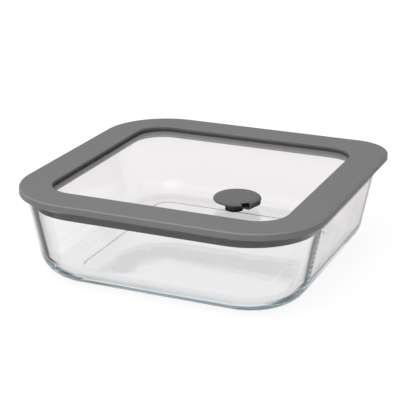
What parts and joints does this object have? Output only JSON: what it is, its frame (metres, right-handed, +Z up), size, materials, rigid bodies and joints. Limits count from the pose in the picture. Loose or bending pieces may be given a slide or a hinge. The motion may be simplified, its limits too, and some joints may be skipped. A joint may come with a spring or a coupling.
{
  "type": "glass food container",
  "caption": "Square glass food container with a press-on lid: a glass pane in a silicone ring with a flip-up steam vent.",
  "frame": {"origin": "middle of the foot, on the surface that the dish stands on", "axes": "+Z up, +X to the right, front towards -Y"},
  "size_m": [0.2, 0.2, 0.0646],
  "materials": {
    "dish_glass": "clear pressed glass with a faint blue-green tint in its thick edges",
    "pane_glass": "clear flat glass",
    "ring_silicone": "matt grey moulded silicone",
    "vent_silicone": "matt grey moulded silicone"
  },
  "bodies": {
    "dish": {"glass_dish": "dish_glass"},
    "lid": {"lid_ring": "ring_silicone", "lid_glass": "pane_glass", "vent_plug": "vent_silicone", "vent_strap": "vent_silicone"},
    "vent": {"vent_cap": "vent_silicone"}
  },
  "joints": [
    {"name": "lid_lift", "type": "slide", "parent": "dish", "child": "lid", "axis": [0, 0, 1], "range_m": [0, 0.08]},
    {"name": "vent_flip", "type": "hinge", "parent": "lid", "child": "vent", "pos_m": [0.05459, -0.05741, 0.0616], "axis": [0.2588, 0.9659, 0], "range_deg": [0, 120], "deforming": ["vent_strap"]}
  ]
}
